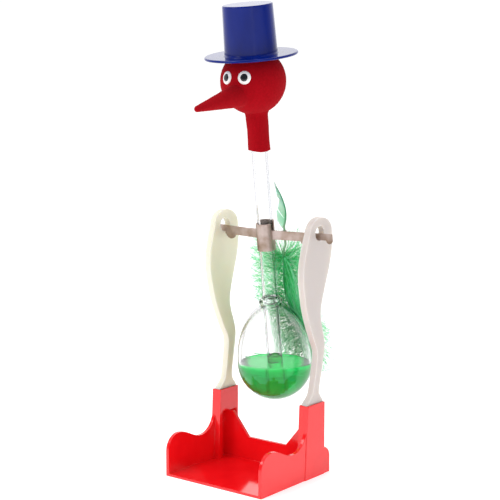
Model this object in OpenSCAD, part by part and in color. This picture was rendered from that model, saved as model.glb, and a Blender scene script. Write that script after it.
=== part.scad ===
// Drinking bird: a glass bird that hangs from a sheet-metal strap between two moulded legs,
// which plug into the posts of a moulded base. Millimetres, +Z up, beak towards -Y.
// The origin is the middle of the base's underside.

/* [Base] */
// Width of the base across its side walls
base_w = 46; // [40:0.5:60]
// Depth of the base from front to back
base_d = 43.4; // [38:0.5:56]
// Thickness of the floor
floor_t = 1; // [0.8:0.1:2.4]
// Thickness of the side walls
wall_t = 1.4; // [1:0.1:2.4]
// Height of the hump at the front of each side wall
hump_h = 16; // [13:0.5:20]
// Height of the dip between the hump and the post
dip_h = 12; // [9:0.5:13]
// Height of the side wall behind the post
rear_h = 10.5; // [6:0.5:14]
// Radius of the rounded front corner of a side wall
hump_r = 6.3; // [3:0.1:8]
// Height of the cross web at its middle
web_h = 10.2; // [5:0.2:14]
// Half of the level stretch at the middle of the cross web
web_half = 9.1; // [5:0.1:12]
// Thickness of the cross web
web_t = 1.3; // [0.8:0.1:2]

/* [Posts] */
// Height of the posts
post_h = 28.6; // [24:0.2:36]
// Thickness of a post from its outer to its inner face
post_w = 4.2; // [3.8:0.1:6]
// Depth of a post from front to back, at its top
post_d = 11; // [10.6:0.1:14]
// How far the middle of the posts is behind the middle of the base
post_y = 12.3; // [6:0.1:14]
// How far a post stands out of the side wall
post_proud = 0.3; // [0:0.1:1]
// Draft of a post's front face, in degrees
post_draft = 3; // [0:0.5:5]
// Height of the solid block at the top of a post, which holds the socket
block_h = 9; // [7:0.2:12]
// Depth of the socket
socket_d = 7.8; // [5:0.1:10]

/* [Legs] */
// Thickness of a leg
leg_t = 2.6; // [2:0.1:3.4]
// Depth of a leg across its eye
leg_d = 14.5; // [12:0.1:18]
// Stretch of leg above the middle of its eye
crown_h = 6; // [5:0.1:9]
// Radius of the eye that the strap passes through
eye_r = 2.8; // [2.2:0.1:3.4]
// Thickness of the foot that plugs into the socket
plug_t = 2.5; // [1.8:0.1:2.8]
// Depth of the foot from front to back
plug_d = 9.2; // [7:0.1:9.4]
// Outward lean of a leg, in degrees
splay = 1.3; // [0:0.1:2]

/* [Pivot] */
// Height of the pivot line
pivot_h = 92.6; // [84:0.2:110]
// How far the pivot line is behind the middle of the base
pivot_y = 12.6; // [8:0.1:16]
// Forward lean of the bird at rest, in degrees
lean = 7; // [0:0.5:12]
// How far the tube is in front of the pivot line
tube_off = 1.85; // [1.2:0.1:3]
// Thickness of the strap's sheet metal
strap_t = 0.5; // [0.3:0.05:0.8]
// Height of the strap's blades
blade_h = 3.4; // [3:0.1:4.4]
// Height of the blade where it crosses the eye
neck_h = 2.5; // [1.8:0.1:2.7]
// Length of a blade beyond the middle of the leg
tip_out = 6.6; // [5.5:0.1:9]
// Height of the sleeve round the tube
sleeve_h = 10.5; // [8:0.1:14]
// How far the rear half of the sleeve stands above the front half
rear_rise = 0.9; // [0:0.1:1.5]

/* [Glass] */
// Outer diameter of the tube
tube_od = 6; // [5:0.1:7]
// Wall of the tube
tube_wall = 0.7; // [0.5:0.05:1]
// Outer radius of the body bulb
bulb_r = 14.7; // [12:0.1:16]
// Height of the body bulb's shoulder above its middle
bulb_top = 24; // [20:0.2:28]
// Distance of the body bulb's middle below the pivot line
bulb_down = 51.8; // [46:0.2:56]
// Wall of the body bulb
bulb_wall = 1.05; // [0.6:0.05:1.2]
// Radius of the seal where the bulb is fused to the tube
seal_r = 4.6; // [4:0.1:5.5]
// Height of the seal
seal_h = 3.8; // [2.5:0.1:5]
// Gap between the end of the tube and the bottom of the bulb
tube_gap = 4.6; // [3:0.1:7]
// Outer radius of the glass bulb in the head
head_glass_r = 10.8; // [9:0.1:11]
// Wall of the glass bulb in the head
head_wall = 0.6; // [0.5:0.05:1.2]

/* [Liquid] */
// Drop of the liquid's surface below the middle of the body bulb
level_drop = 0.2; // [0:0.1:6]
// Height of the liquid in the tube above the surface outside it
column_up = 3; // [1:0.1:8]

/* [Head] */
// Distance of the middle of the head above the pivot line
head_up = 58.2; // [54:0.2:66]
// Radius of the head over its felt
head_r = 12.3; // [12.1:0.1:14]
// How far the felt ball is in front of the tube
head_fwd = 0.7; // [0:0.1:1]
// Turn of the head on the tube, in degrees
head_turn = 4; // [-8:1:8]
// Thickness of the felt on the neck
felt_t = 1.15; // [0.8:0.05:1.6]
// Length of the felt on the neck, below the middle of the head
neck_len = 26; // [20:0.2:32]
// Reach of the beak in front of the middle of the head
beak_len = 37.4; // [28:0.2:42]
// Radius of the beak's cone at the middle of the head
beak_r = 5.8; // [4.6:0.1:6.2]
// Radius of the beak's tip
beak_tip = 1.15; // [1:0.1:1.6]
// Distance of the beak's line below the middle of the head
beak_drop = 3.4; // [2.4:0.1:4.4]
// Droop of the beak, in degrees
beak_droop = 2.5; // [0:0.5:6]
// Angle of each eye from straight ahead, in degrees
eye_side = 18.8; // [14:0.2:30]
// Angle of each eye above the middle of the head, in degrees
eye_lift = 13; // [8:0.5:20]
// Diameter of the white of the eye
white_d = 5.1; // [4:0.1:6]
// Diameter of the pupil
pupil_d = 2.6; // [1.6:0.1:3.4]

/* [Hat] */
// Diameter of the crown where it meets the brim
crown_d = 19.8; // [17:0.1:22]
// Diameter of the crown at its top
crown_top_d = 18.8; // [16:0.1:22]
// Height of the crown above the brim
crown_up = 18.2; // [14:0.1:26]
// Diameter of the brim
brim_d = 35; // [28:0.2:40]
// Thickness of the brim
brim_t = 1; // [0.8:0.1:1.6]
// Wall of the crown
crown_wall = 0.9; // [0.7:0.1:1.5]
// Diameter of the opening in the brim, which seats on the head
seat_d = 16.4; // [14:0.1:17]
// Forward tilt of the hat on the head, in degrees
hat_tilt = 2; // [0:0.5:4]
// Sideways tilt of the hat on the head, in degrees
hat_roll = 1.2; // [-3:0.2:3]

/* [Feather] */
// Width of the fluffy part of the feather
down_w = 34; // [24:0.5:34]
// Widest stretch of the stiff vane beside the shaft
vane_w = 5.4; // [3:0.1:5.8]
// Radius of the bare quill
quill_r = 0.45; // [0.35:0.05:0.6]

/* [Hidden] */

$fn = 72;
slack = 0.05;                 // overlap that makes a cut clean
plug_fit = 0.1;               // gap round a foot in its socket
socket_fit = 0.3;             // gap under a foot
strap_fit = 0.05;             // gap between the sleeve and the tube
thrust_fit = 0.3;             // gap between the strap's lobe and the inner face of the leg
felt_fit = 0.05;              // gap between the felt and the glass
eye_fit = 0.25;               // gap between the turning strap and the bottom of the eye
liquid_fit = 0.2;             // gap between the liquid and the glass round it
corner_r = 1.2;               // rounding of the base's corners in plan
channel_wall = 1.1;           // wall left round the hollow below a post's block
draft_foot = post_h * tan(post_draft);

out_x = base_w / 2;
post_x = out_x + post_proud - post_w / 2;       // middle of a post
front_y = -base_d / 2;
post_front = post_y - post_d / 2;
post_back = post_y + post_d / 2;

blade_sweep_r = sqrt(pow(neck_h / 2, 2) + pow(strap_t / 2, 2));
eye_z = pivot_h + eye_r - blade_sweep_r - eye_fit;
leg_x = post_x + (pivot_h - post_h) * tan(splay);   // middle of a leg at the pivot
sleeve_ri = tube_od / 2 + strap_fit;
sleeve_ro = sleeve_ri + strap_t;
blade_top = neck_h / 2;
blade_low = blade_top - blade_h;
sleeve_top = blade_top + 2.7;
sweep = atan((tube_off + strap_t / 2) / (leg_x - sleeve_ro));

bore_r = tube_od / 2 - tube_wall;
bulb_in = bulb_r - bulb_wall;
tube_end = -bulb_down - bulb_in + tube_gap;
neck_r = seal_r - 0.5;
seal_low = -bulb_down + bulb_top * sqrt(1 - pow(neck_r / bulb_r, 2));
bulb_y = pivot_y - tube_off * cos(lean) + bulb_down * sin(lean);
bulb_z = pivot_h - tube_off * sin(lean) - bulb_down * cos(lean);
column_top = -bulb_down - level_drop + column_up;

brim_low = sqrt(pow(head_r, 2) - pow(seat_d / 2, 2)) + 0.05;
ferrule_x = 8;
quill_low = -8.5;
down_low = -bulb_down - 8;

// Places and curves

// Puts its children in the bird's own frame: the pivot at the origin and the tube upright
module in_bird() translate([0, pivot_y, pivot_h]) rotate([lean, 0, 0]) children();

// As in_bird, with the tube's axis on the Z axis
module on_tube() in_bird() translate([0, -tube_off, 0]) children();

// The head's frame: the middle of the felt ball at the origin
module in_head() on_tube() translate([0, 0, head_up]) rotate([0, 0, head_turn]) translate([0, -head_fwd, 0]) children();

// Keeps the first child and its mirror image
module both_sides() {
    children();
    mirror([1, 0, 0]) children();
}

// Extrudes an outline drawn in Y and Z along +X, from x = 0
module slab(t) rotate([90, 0, 90]) linear_extrude(t) children();

function arc(c, rx, rz, a0, a1, n) =
    [for (i = [0 : n]) let (a = a0 + (a1 - a0) * i / n) [c[0] + rx * cos(a), c[1] + rz * sin(a)]];

// One point of a Catmull-Rom curve between b and c
function crom(a, b, c, d, t) =
    0.5 * (2 * b + (c - a) * t + (2 * a - 5 * b + 4 * c - d) * t * t + (3 * b - a - 3 * c + d) * t * t * t);

function curve(p, n) = let (e = len(p) - 1) concat(
    [for (i = [0 : e - 1], k = [0 : n - 1])
        crom(p[max(i - 1, 0)], p[i], p[i + 1], p[min(i + 2, e)], k / n)],
    [p[e]]);

// A closed body through level rings. Each station is [x, y, z, half width, half depth].
module loft(stations, n = 20) {
    rings = len(stations);
    points = [for (s = stations, i = [0 : n - 1])
        [s[0] + s[3] * cos(360 * i / n), s[1] + s[4] * sin(360 * i / n), s[2]]];
    sides = [for (r = [0 : rings - 2], i = [0 : n - 1]) let (j = (i + 1) % n)
        [r * n + i, r * n + j, (r + 1) * n + j, (r + 1) * n + i]];
    caps = [[for (i = [0 : n - 1]) n - 1 - i], [for (i = [0 : n - 1]) (rings - 1) * n + i]];
    polyhedron(points, [for (f = concat(sides, caps)) [for (k = [len(f) - 1 : -1 : 0]) f[k]]], convexity = 4);
}

// Base

module rounded_plate(w, d, r, t) linear_extrude(t) {
    square([w - 2 * r, d], center = true);
    square([w, d - 2 * r], center = true);
    for (x = [-1, 1], y = [-1, 1]) translate([x * (w / 2 - r), y * (d / 2 - r)]) circle(r);
}

// Side wall in Y and Z: a rounded front, a hump, a dip and a sweep up to the post
module wall_outline() {
    foot_y = post_front - draft_foot / 2;
    dip_y = foot_y - 8;
    top_y = front_y + hump_r;
    rear_r = rear_h * 0.4;
    s_curve = [for (i = [1 : 11]) let (t = i / 12)
        [top_y + (dip_y - top_y) * t, (hump_h + dip_h) / 2 + (hump_h - dip_h) / 2 * cos(180 * t)]];
    polygon(concat(
        [[front_y, 0]],
        arc([top_y, hump_h - hump_r], hump_r, hump_r, 180, 90, 10),
        s_curve,
        arc([dip_y, dip_h + 8], foot_y - dip_y, 8, 270, 345, 10),
        [[post_y, dip_h + 8], [post_y, rear_h]],
        arc([-front_y - rear_r, rear_h - rear_r], rear_r, rear_r, 90, 0, 8),
        [[-front_y, 0]]));
}

// Post in Y and Z, with the front face drafted
module post_outline() polygon([[post_front - draft_foot, 0], [post_front, post_h], [post_back, post_h], [post_back, 0]]);

// Hollow below the block, open towards the middle of the base
module post_channel() {
    y0 = post_front + channel_wall;
    translate([out_x + post_proud - post_w - slack, y0, floor_t])
        cube([post_w - channel_wall + slack, post_d - 2 * channel_wall, post_h - block_h - floor_t]);
}

module web_outline() {
    top_z = post_h - block_h;
    inner_x = out_x - wall_t / 2;
    rise_x = web_half + (top_z - web_h) * 0.83;
    polygon([[-inner_x, 0], [-inner_x, top_z], [-rise_x, top_z], [-web_half, web_h],
        [web_half, web_h], [rise_x, top_z], [inner_x, top_z], [inner_x, 0]]);
}

module socket() translate([post_x, post_y, post_h - socket_d]) linear_extrude(socket_d + slack)
    square([plug_t + 2 * plug_fit, plug_d + 2 * plug_fit], center = true);

module base_tray() color("#d81e24") {
    difference() {
        union() {
            rounded_plate(base_w, base_d, corner_r, floor_t);
            both_sides() {
                translate([out_x - wall_t, 0, 0]) slab(wall_t) wall_outline();
                difference() {
                    translate([out_x + post_proud - post_w, 0, 0]) slab(post_w) post_outline();
                    post_channel();
                }
            }
            translate([0, post_y + web_t / 2, 0]) rotate([90, 0, 0]) linear_extrude(web_t) web_outline();
        }
        both_sides() socket();
    }
}

// Legs

// Leg in Y and Z: a flared foot, a shank, a knee and a broad thigh with a round top
module leg_outline() {
    h = eye_z - post_h;
    z0 = post_h + 0.05;
    mid_y = post_y + 1.25;
    flare = post_d / 2 - 0.2;
    // each point is [distance behind the post's middle, share of the height up to the eye]
    front = [[-flare, 0], [-flare + 0.8, 0.015], [-1.9, 0.05], [-0.8, 0.1], [0.4, 0.205], [0.9, 0.305], [-1.9, 0.39],
        [-6.3, 0.543], [-8.9, 0.7], [-9.3, 0.81], [-8, 0.91]];
    rear = [[8.7, 0.91], [7.3, 0.8], [4.7, 0.68], [2.6, 0.565], [2.8, 0.49], [4.9, 0.39], [5.6, 0.32], [4.3, 0.205],
        [2.9, 0.1], [3.1, 0.05], [flare - 0.5, 0.015], [flare, 0]];
    edge_front = [for (p = front) [post_y + p[0], z0 + h * p[1]]];
    edge_rear = [for (p = rear) [post_y + p[0], z0 + h * p[1]]];
    crown = arc([mid_y, eye_z], leg_d / 2, crown_h, 180, 0, 18);
    polygon(concat(curve(concat(edge_front, [crown[0]]), 4), [for (i = [1 : 17]) crown[i]],
        curve(concat([crown[18]], edge_rear), 4)));
}

// Straight foot that plugs into the socket
module plug() translate([post_x - plug_t / 2, post_y - plug_d / 2, post_h - socket_d + socket_fit])
    cube([plug_t, plug_d, socket_d - socket_fit + 0.1]);

module leg() color("#e6e2d8") difference() {
    union() {
        plug();
        translate([post_x, 0, post_h]) rotate([0, splay, 0]) translate([-leg_t / 2, 0, -post_h]) slab(leg_t) leg_outline();
    }
    translate([leg_x, pivot_y, eye_z]) rotate([0, 90, 0]) cylinder(r = eye_r, h = leg_t * 3, center = true);
}

module leg_right() leg();
module leg_left() mirror([1, 0, 0]) leg();

// Strap

// Blade in X and Z: a lobe hangs inside the leg and a small hook at the tip, with a narrow neck between them
module blade_outline() {
    lobe_end = leg_x - leg_t / 2 - thrust_fit;
    lobe_r = 2.9;
    lobe_h = 1.75;
    hook_r = 1.3;
    difference() {
        union() {
            translate([sleeve_ro - strap_t, blade_low]) square([lobe_end - sleeve_ro + strap_t, blade_h]);
            translate([lobe_end - lobe_r, blade_low + lobe_r - lobe_h]) circle(lobe_r);
        }
        translate([0, blade_top]) square([leg_x * 2, lobe_r]);
    }
    translate([lobe_end - 0.1, -blade_top]) square([leg_x + tip_out - lobe_end + 0.1, neck_h]);
    translate([leg_x + tip_out - hook_r, -blade_top]) circle(hook_r);
}

// Places a sheet that lies beside the blade's middle plane, from `back` to `back + t` behind it
module on_blade(back, t) translate([leg_x, 0, 0]) rotate([0, 0, sweep]) translate([-leg_x, back + t, 0])
    rotate([90, 0, 0]) linear_extrude(t) children();

module half_sleeve(front) difference() {
    low = sleeve_top - sleeve_h;
    relief = 0.7;
    translate([0, -tube_off, low]) cylinder(r = sleeve_ro, h = sleeve_h + (front ? 0 : rear_rise));
    translate([0, -tube_off, low - 1]) cylinder(r = sleeve_ri, h = sleeve_h + 3);
    translate([-10, front ? -tube_off : -tube_off - 20, low - 1]) cube([20, 20, sleeve_h + 2]);
    translate([-10, -tube_off - relief, blade_top]) cube([20, 2 * relief, sleeve_h]);
}

module pivot_strap() color("#b3a59f") in_bird() {
    half_sleeve(true);
    difference() {
        both_sides() on_blade(-strap_t / 2, strap_t) blade_outline();
        translate([0, -tube_off, -5]) cylinder(r = sleeve_ri, h = 10);
    }
}

// Rear half of the sleeve, with ears behind the blades and a rolled end that grips the quill
module strap_clip() color("#a3968c") in_bird() {
    ear_fit = 0.02;
    difference() {
        union() {
            translate([0, ear_fit, 0]) half_sleeve(false);
            both_sides() on_blade(strap_t / 2 + ear_fit, strap_t)
                translate([sleeve_ro - 0.3, blade_low]) square([ferrule_x - sleeve_ro, blade_h]);
            on_blade_ferrule(quill_r + 0.05 + 0.4);
        }
        on_blade_ferrule(quill_r + 0.05);
        translate([0, -tube_off, -10]) cylinder(r = sleeve_ri, h = 20);
    }
}

function blade_y(x) = -(leg_x - x) * tan(sweep);   // middle plane of the right blade
quill_y = blade_y(ferrule_x) + strap_t / 2 + quill_r + 0.05 + 0.4 + 0.1;

module on_blade_ferrule(r) translate([ferrule_x, quill_y, blade_low]) cylinder(r = r, h = blade_h, $fn = 32);

// Glass

module glass_tube() color("#dfe9ec", 0.35) on_tube() difference() {
    top = head_up - head_glass_r + head_wall / 2;
    translate([0, 0, tube_end]) cylinder(d = tube_od, h = top - tube_end);
    translate([0, 0, tube_end - 1]) cylinder(r = bore_r, h = top - tube_end + 2);
}

// Half outline of a bulb: a round bottom, and an upper half stretched to `top`, cut off at `mouth`
function pear(r, top, mouth) = let (a1 = acos(mouth / r)) concat(
    arc([0, 0], r, r, -90, 0, 16),
    [for (i = [1 : 16]) [r * cos(a1 * i / 16), top * sin(a1 * i / 16)]]);

module glass_bulb() color("#dfe9ec", 0.35) on_tube() translate([0, 0, -bulb_down]) difference() {
    mouth = tube_od / 2 + 0.02;
    outer = pear(bulb_r, bulb_top, neck_r);
    inner = pear(bulb_in, bulb_top - bulb_wall, mouth);
    rotate_extrude() polygon(concat(outer, [[0, outer[len(outer) - 1][1]]]));
    rotate_extrude() polygon(concat(inner, [[mouth, bulb_top + 5], [0, bulb_top + 5]]));
}

// Fused collar of glass that closes the bulb round the tube, with a bead half way up
module glass_seal() color("#cfdde0", 0.45) on_tube() translate([0, 0, seal_low]) {
    ri = tube_od / 2 + 0.02;
    bead = seal_h * 0.3;
    rotate_extrude() polygon(concat([[ri, 0], [neck_r, 0]],
        arc([seal_r - bead, seal_h * 0.42], bead, bead, -60, 70, 8),
        [[ri + 0.35, seal_h * 0.85], [ri, seal_h]]));
}

module head_glass() color("#dfe9ec", 0.35) on_tube() translate([0, 0, head_up]) difference() {
    sphere(head_glass_r);
    sphere(head_glass_r - head_wall);
    translate([0, 0, -head_glass_r - 1]) cylinder(d = tube_od + 0.04, h = head_glass_r / 2);
}

// Drawn-off tip where the glass was closed, hidden in the hat
module glass_nib() color("#cfdde0", 0.45) on_tube() translate([0, 0, head_up + head_glass_r]) {
    seat = arc([0, -head_glass_r], head_glass_r + 0.01, head_glass_r + 0.01, 90, 90 - asin(2 / head_glass_r), 4);
    rotate_extrude() polygon(concat(seat, [[1.3, 1.3], [0.9, 2.9], [0.5, 4.1], [0, 4.4]]));
}

// Head

// The beak's line: from inside the head to its tip, drooping slightly
module on_beak() in_head() translate([0, 0, -beak_drop]) rotate([90 + beak_droop, 0, 0]) children();

function beak_radius(s) = beak_r + (beak_tip - beak_r) * s / (beak_len - beak_tip);

module beak_body(start, inset) {
    end = beak_len - beak_tip;
    rotate_extrude() polygon(concat(
        [[0, start]],
        [for (i = [0 : 10]) let (s = start + (end - start) * i / 10) [beak_radius(s) - inset, s]],
        arc([0, end], beak_tip - inset, beak_tip - inset, 10, 90, 5)));
}

module beak_core() color("#8c1016") difference() {
    on_beak() beak_body(head_glass_r * 0.7, 0.8);
    on_tube() translate([0, 0, head_up]) sphere(head_glass_r + felt_fit);
}

module head_felt() color("#b0101a") difference() {
    union() {
        in_head() sphere(head_r);
        on_beak() beak_body(0, 0);
        on_tube() translate([0, 0, head_up - neck_len]) cylinder(r = tube_od / 2 + felt_t, h = neck_len);
    }
    on_tube() translate([0, 0, head_up]) sphere(head_glass_r + felt_fit);
    on_tube() translate([0, 0, head_up - neck_len - 1]) cylinder(r = tube_od / 2 + felt_fit, h = neck_len);
    on_tube() translate([0, 0, head_up]) cylinder(r = 2.1, h = head_r * 2);
    on_beak() beak_body(head_glass_r * 0.7, 0.8 - felt_fit);
}

// Places its child on the head's surface, its Z axis pointing outwards, on the side that `side` names
module at_eye(side) in_head() rotate([0, 0, side * eye_side]) rotate([90 - eye_lift, 0, 0]) children();

// A thin cap that follows the ball, from radius r0 to r1
module cap(side, d, r0, r1) intersection() {
    at_eye(side) cylinder(d = d, h = head_r * 2);
    in_head() difference() {
        sphere(r1);
        sphere(r0);
    }
}

module eye_left() color("#f4f2ee") cap(-1, white_d, head_r + 0.02, head_r + 0.3);
module eye_right() color("#f4f2ee") cap(1, white_d, head_r + 0.02, head_r + 0.3);
module pupil_left() color("#17181c") cap(-1, pupil_d, head_r + 0.32, head_r + 0.55);
module pupil_right() color("#17181c") cap(1, pupil_d, head_r + 0.32, head_r + 0.55);

// Hat

module top_hat() color("#1c3a9c") in_head() rotate([hat_tilt, hat_roll, 0]) translate([0, 0, brim_low]) rotate_extrude() {
    rb = crown_d / 2;
    rt = crown_top_d / 2;
    top = brim_t + crown_up;
    e = 0.5;
    polygon(concat(
        [[seat_d / 2, 0]],
        arc([brim_d / 2 - brim_t / 2, brim_t / 2], brim_t / 2, brim_t / 2, -90, 90, 8),
        [[rb + e, brim_t], [rb + e * 0.3, brim_t + e * 0.3], [rb, brim_t + e]],
        arc([rt - e, top - e], e, e, 0, 90, 5),
        [[0, top], [0, top - crown_wall], [rt - crown_wall, top - crown_wall], [rb - crown_wall, brim_t], [seat_d / 2, brim_t]]));
}

// Feather

// The shaft's line, as [x, y, z, radius], from its bare lower end up to the tip
shaft = curve([[5.4, 1.4, quill_low, quill_r], [6.9, 0.1, -6, quill_r], [ferrule_x, quill_y, -4.2, quill_r], [ferrule_x, quill_y, -2.4, quill_r],
    [ferrule_x, quill_y, 1.4, quill_r], [ferrule_x, quill_y, 3, quill_r], [ferrule_x, 0.8, 5.5, 0.4], [7.6, 1.6, 9, 0.35], [6, 2, 13.5, 0.28],
    [3.2, 2, 18.6, 0.2]], 4);

module feather_quill() color("#9fc79a") in_bird() loft([for (p = shaft) [p[0], p[1], p[2], p[3], p[3]]], 12);

// Stiff end of the feather, on the inner side of the shaft
module feather_vane() color("#a9dcb8") in_bird() {
    first = 21;
    last = len(shaft) - 1;
    loft([for (i = [first : last])
        let (p = shaft[i], t = (i - first) / (last - first), w = 0.1 + vane_w / 2 * min(1, 0.3 + 3 * t) * pow(1 - t, 0.6))
        [p[0] - p[3] - w - 0.02, p[1], p[2], w, 0.25]], 12);
}

// Fluffy part, which lies behind the tube and over the back of the bulb
module feather_down() color("#2fae5c") in_bird() {
    w = down_w / 2;
    back = bulb_r - tube_off;
    loft(curve([[5.4, 1.4, quill_low - 0.02, 0.5, 0.45], [3.8, 3.5, -13, w * 0.5, 1.3], [2.2, 3.9, -20, w * 0.85, 1.6],
        [1.2, back * 0.45 + 0.2, -28, w * 0.96, 1.7], [0.8, back * 0.8 + 0.1, -34, w, 1.8],
        [0.8, back + 1.2, -bulb_down + 12, w, 1.9], [1, back + 2.6, -bulb_down + 5, w * 0.98, 1.9],
        [1.4, back + 2.9, -bulb_down - 2, w * 0.75, 1.7], [2.4, back + 2.8, down_low, w * 0.2, 0.8]], 3), 28);
}

// Liquid

// A level-topped cap that stands in the round bottom of the bulb, with a hole for the tube
module liquid_pool() color("#18b850", 0.7) difference() {
    r = bulb_in - liquid_fit;
    translate([0, bulb_y, bulb_z]) rotate_extrude() polygon(concat(
        [[0, -level_drop]],
        arc([0, 0], r, r, -90, -asin(level_drop / r), 24)));
    on_tube() translate([0, 0, tube_end - liquid_fit]) cylinder(r = tube_od / 2 + liquid_fit, h = 60);
}

module liquid_column() color("#18b850", 0.7) on_tube() translate([0, 0, tube_end + 0.1])
    cylinder(r = bore_r - 0.02, h = column_top - tube_end - 0.1);

base_tray();
leg_left();
leg_right();
pivot_strap();
strap_clip();
glass_tube();
glass_bulb();
glass_seal();
head_glass();
glass_nib();
head_felt();
beak_core();
top_hat();
eye_left();
eye_right();
pupil_left();
pupil_right();
feather_quill();
feather_vane();
feather_down();
liquid_pool();
liquid_column();
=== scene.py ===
import math
import bmesh
import bpy
import numpy as np
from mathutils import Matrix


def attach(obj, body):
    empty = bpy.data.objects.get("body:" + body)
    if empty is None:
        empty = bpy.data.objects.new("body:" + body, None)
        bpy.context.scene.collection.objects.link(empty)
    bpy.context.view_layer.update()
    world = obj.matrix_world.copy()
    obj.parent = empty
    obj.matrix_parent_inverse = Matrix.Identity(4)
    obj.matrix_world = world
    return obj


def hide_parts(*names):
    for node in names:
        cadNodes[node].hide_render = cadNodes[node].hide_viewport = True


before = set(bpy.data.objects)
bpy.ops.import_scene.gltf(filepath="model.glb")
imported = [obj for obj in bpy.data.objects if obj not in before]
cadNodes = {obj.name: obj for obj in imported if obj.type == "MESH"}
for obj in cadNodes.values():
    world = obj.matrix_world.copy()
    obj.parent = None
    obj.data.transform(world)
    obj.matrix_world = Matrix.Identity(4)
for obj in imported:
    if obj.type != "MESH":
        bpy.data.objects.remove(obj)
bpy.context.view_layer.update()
scene = bpy.context.scene
mm = 0.001
print("frame loaded:", len(cadNodes), "CAD nodes")

# Camera, at the height and side from which the toy is usually shown

cameraSetup = {"place": (0.30498, -0.38841, 0.15635), "down": 7.996, "side": 38.06, "lens": 95.34}
cameraData = bpy.data.cameras.new("camera")
cameraData.lens = cameraSetup["lens"]
cameraData.sensor_width = 36
camera = bpy.data.objects.new("camera", cameraData)
scene.collection.objects.link(camera)
camera.location = cameraSetup["place"]
camera.rotation_euler = (math.radians(90 - cameraSetup["down"]), 0, math.radians(cameraSetup["side"]))
scene.camera = camera

# Places: the same frames as the CAD source, in millimetres

bird = {"pivotY": 12.6, "pivotZ": 92.6, "lean": 7, "tubeOff": 1.85, "headUp": 58.2, "headTurn": 4, "headForward": 0.7}
bulb = {"radius": 14.7, "shoulder": 24, "down": 51.8, "wall": 1.05, "mouth": 4.1}


def turnX(points, degrees):  # turns about the X axis
    c, s = math.cos(math.radians(degrees)), math.sin(math.radians(degrees))
    return points @ np.array([[1, 0, 0], [0, c, s], [0, -s, c]])


def turnZ(points, degrees):  # turns about the Z axis
    c, s = math.cos(math.radians(degrees)), math.sin(math.radians(degrees))
    return points @ np.array([[c, s, 0], [-s, c, 0], [0, 0, 1]])


def inBird(points):  # pivot at the origin, tube upright
    return turnX(points, bird["lean"]) + [0, bird["pivotY"], bird["pivotZ"]]


def onTube(points):
    return inBird(points + [0, -bird["tubeOff"], 0])


def inHead(points):  # middle of the felt ball at the origin
    return onTube(turnZ(points + [0, -bird["headForward"], 0], bird["headTurn"]) + [0, 0, bird["headUp"]])


# Mesh makers

def newPiece(name, points, faces, body, material, smooth=True):
    mesh = bpy.data.meshes.new(name)
    mesh.from_pydata((np.asarray(points) * mm).tolist(), [], faces)
    mesh.polygons.foreach_set("use_smooth", np.full(len(mesh.polygons), smooth))
    mesh.materials.append(material)
    mesh.validate()
    piece = bpy.data.objects.new(name, mesh)
    scene.collection.objects.link(piece)
    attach(piece, body)
    return piece


def ringFaces(rings, around, start=0):
    # quads between neighbouring rings of a closed grid: ring r, step k to ring r + 1, step k + 1
    r, k = np.meshgrid(np.arange(rings - 1), np.arange(around), indexing="ij")
    nextK = (k + 1) % around
    quads = np.stack([r * around + k, r * around + nextK, (r + 1) * around + nextK, (r + 1) * around + k], -1)
    return (quads.reshape(-1, 4) + start).tolist()


def closedGrid(grid):
    # rings by steps by 3, closed at both ends with a fan round the middle of the end ring
    rings, around = grid.shape[:2]
    points = np.concatenate([grid.reshape(-1, 3), grid[:1].mean(1), grid[-1:].mean(1)])
    k = np.arange(around)
    low = np.stack([np.full(around, rings * around), (k + 1) % around, k], -1)
    last = (rings - 1) * around
    high = np.stack([np.full(around, rings * around + 1), last + k, last + (k + 1) % around], -1)
    return points, ringFaces(rings, around) + low.tolist() + high.tolist()


def revolve(profile, around=72):
    # profile of [radius, height] turned about Z: x = r cos a, y = r sin a
    profile = np.asarray(profile, float)
    a = np.linspace(0, 2 * math.pi, around, endpoint=False)
    return np.stack([profile[:, :1] * np.cos(a), profile[:, :1] * np.sin(a), np.repeat(profile[:, 1:], around, 1)], -1)


def smoothCurve(points, steps):
    # Catmull-Rom curve through the points, `steps` to each stretch
    p = np.asarray(points, float)
    p = np.concatenate([2 * p[:1] - p[1:2], p, 2 * p[-1:] - p[-2:-1]])
    t = np.arange(steps)[:, None] / steps
    parts = [0.5 * (2 * b + (c - a) * t + (2 * a - 5 * b + 4 * c - d) * t**2 + (3 * b - a - 3 * c + d) * t**3)
             for a, b, c, d in zip(p[:-3], p[1:-2], p[2:-1], p[3:])]
    return np.concatenate(parts + [p[-2:-1]])


def unit(v):
    return v / np.maximum(np.linalg.norm(v, axis=-1, keepdims=True), 1e-9)


def tubeAlong(path, radius, around=16):
    # circle carried along the path, its first axis kept near X
    along = unit(np.gradient(path, axis=0))
    across = unit(np.cross(along, np.cross([1.0, 0, 0], along)))
    other = np.cross(along, across)
    a = np.linspace(0, 2 * math.pi, around, endpoint=False)[None, :, None]
    r = np.asarray(radius, float).reshape(-1, 1, 1)
    return path[:, None] + r * (across[:, None] * np.cos(a) + other[:, None] * np.sin(a))


def ribbons(paths, widths, facing):
    # each path of points becomes a flat strip: point plus and minus half its width across `facing`
    along = unit(np.gradient(paths, axis=1))
    across = unit(np.cross(along, facing))
    n, k = paths.shape[:2]
    half = widths[..., None] / 2
    points = np.stack([paths - across * half, paths + across * half], 2).reshape(-1, 3)
    i, j = np.meshgrid(np.arange(n), np.arange(k - 1), indexing="ij")
    base = ((i * k + j) * 2).ravel()
    return points, np.stack([base, base + 1, base + 3, base + 2], -1)


# Materials

def linear(hexColour):  # sRGB hex to linear RGBA
    rgb = np.array([int(hexColour[i:i + 2], 16) / 255 for i in (1, 3, 5)])
    rgb = np.where(rgb <= 0.04045, rgb / 12.92, ((rgb + 0.055) / 1.055) ** 2.4)
    return (*rgb.tolist(), 1.0)


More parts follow.
